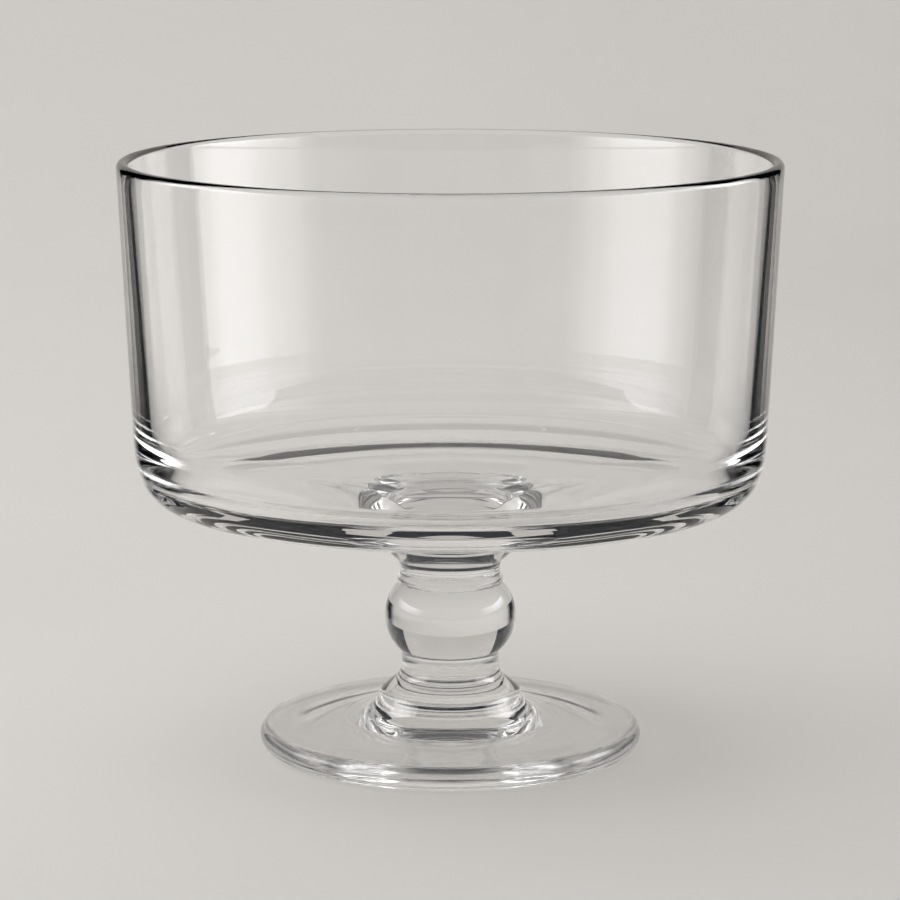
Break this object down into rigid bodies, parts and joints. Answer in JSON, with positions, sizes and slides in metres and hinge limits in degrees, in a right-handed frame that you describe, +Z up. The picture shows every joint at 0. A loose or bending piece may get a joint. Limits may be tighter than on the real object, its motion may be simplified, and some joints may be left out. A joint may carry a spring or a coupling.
{
  "type": "trifle bowl",
  "caption": "Clear glass trifle bowl: deep straight-sided dish with rounded base on a turned stem with a ball knop, standing on a round foot.",
  "frame": {"origin": "centre of the foot's rest ring, on the table", "axes": "+Z up along the bowl's axis; X and Y are level and interchangeable because every piece is turned about Z"},
  "size_m": [0.2202, 0.2202, 0.199],
  "materials": {
    "clear_glass": "fire-polished clear soda-lime glass"
  },
  "bodies": {
    "root": {"bowl": "clear_glass", "upper_collar": "clear_glass", "ball_knop": "clear_glass", "lower_collar": "clear_glass", "foot": "clear_glass"}
  },
  "joints": []
}
